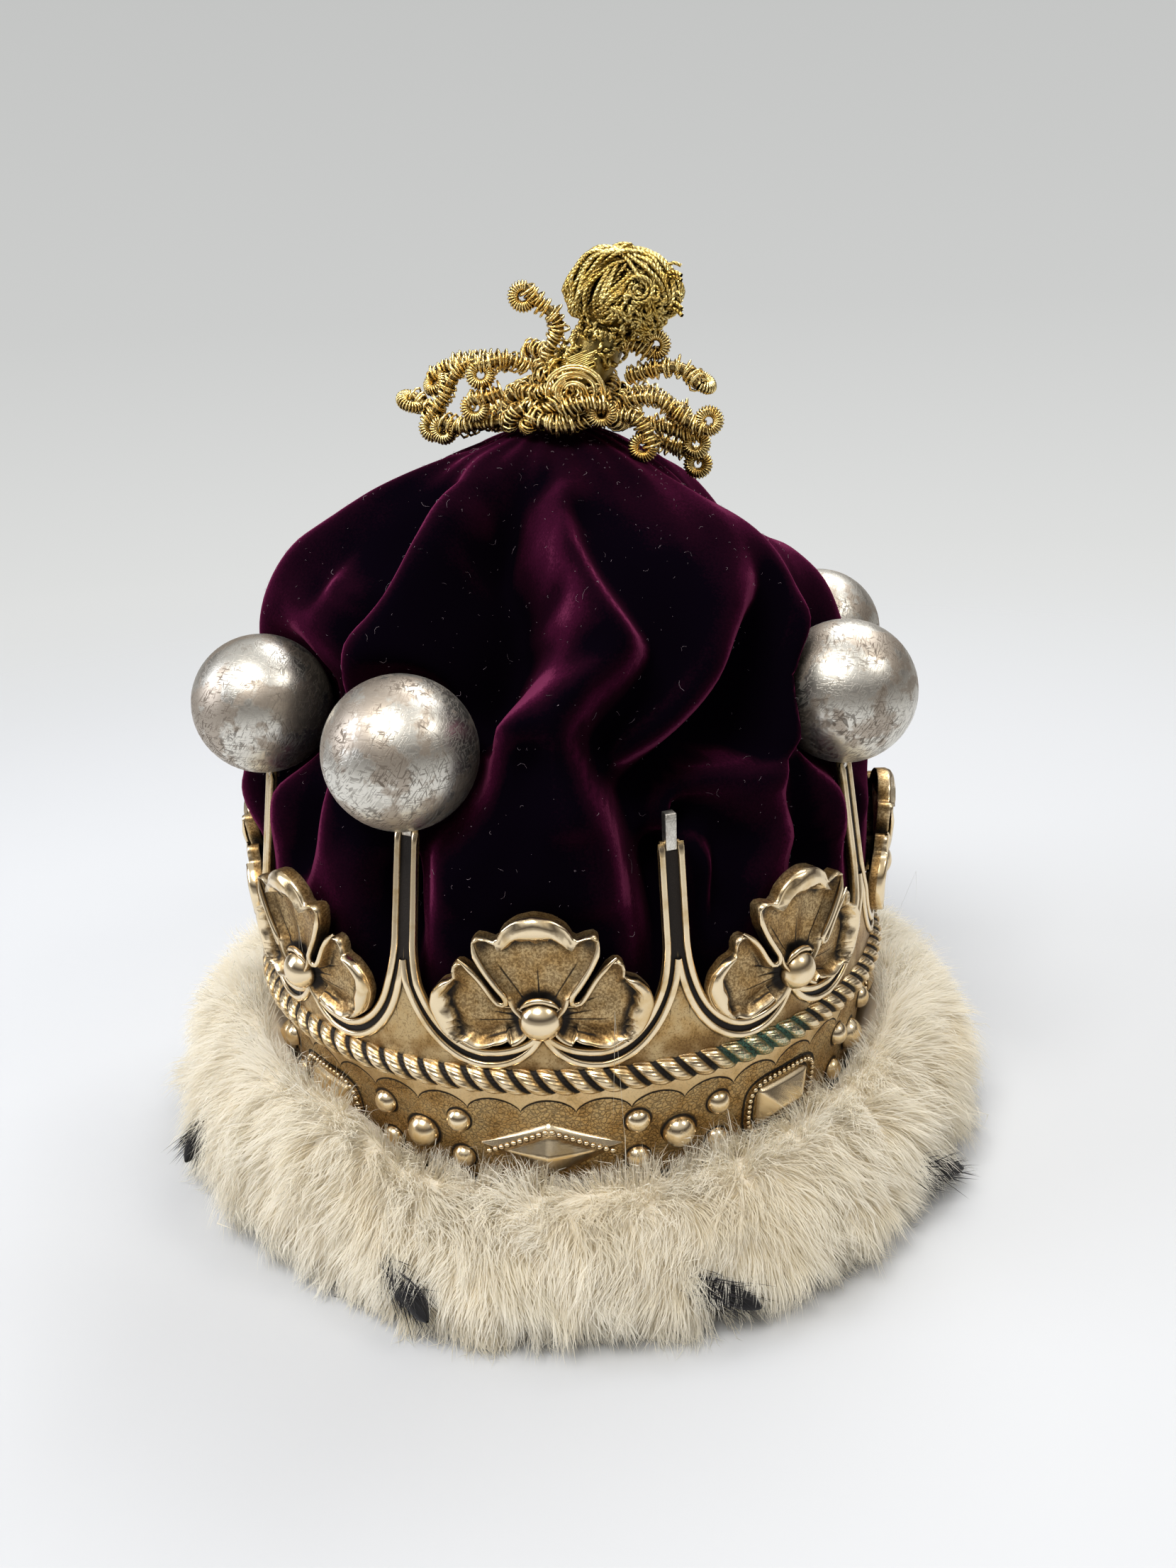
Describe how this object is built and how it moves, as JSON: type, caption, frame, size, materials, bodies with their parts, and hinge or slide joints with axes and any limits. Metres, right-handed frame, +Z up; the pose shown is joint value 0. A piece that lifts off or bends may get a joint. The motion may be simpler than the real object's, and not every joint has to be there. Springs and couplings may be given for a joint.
{
  "type": "coronet",
  "caption": "Ceremonial coronet: a gilt circlet of leaves and ball-topped rays round a folded velvet cap, with a bullion tassel above and a fur turn-up below that it stands on.",
  "frame": {"origin": "middle of the base on the surface that the coronet stands on", "axes": "+Z up, -Y towards the front leaf, +X to the wearer's left as seen from the front"},
  "size_m": [0.2563, 0.2591, 0.2586],
  "materials": {
    "gilt": "worn silver gilt, partly oxidised, polished on its edges",
    "silver_ball": "worn polished silver with scratches and tarnish",
    "velvet": "crushed dark plum silk velvet with brighter pile on the folds",
    "bullion": "gold bullion: coiled metal thread",
    "fur": "ivory fur in tufts",
    "fur_tail": "black fur tips"
  },
  "bodies": {
    "root": {"circlet": "gilt", "ball_1": "silver_ball", "ball_2": "silver_ball", "ball_3": "silver_ball", "ball_4": "silver_ball", "ball_5": "silver_ball", "ball_6": "silver_ball", "ball_7": "silver_ball", "velvet_cap": "velvet", "tassel": "bullion", "fur_trim": "fur", "ermine_tail_1": "fur_tail", "ermine_tail_2": "fur_tail", "ermine_tail_3": "fur_tail", "ermine_tail_4": "fur_tail", "ermine_tail_5": "fur_tail", "ermine_tail_6": "fur_tail", "ermine_tail_7": "fur_tail", "ermine_tail_8": "fur_tail"}
  },
  "joints": []
}
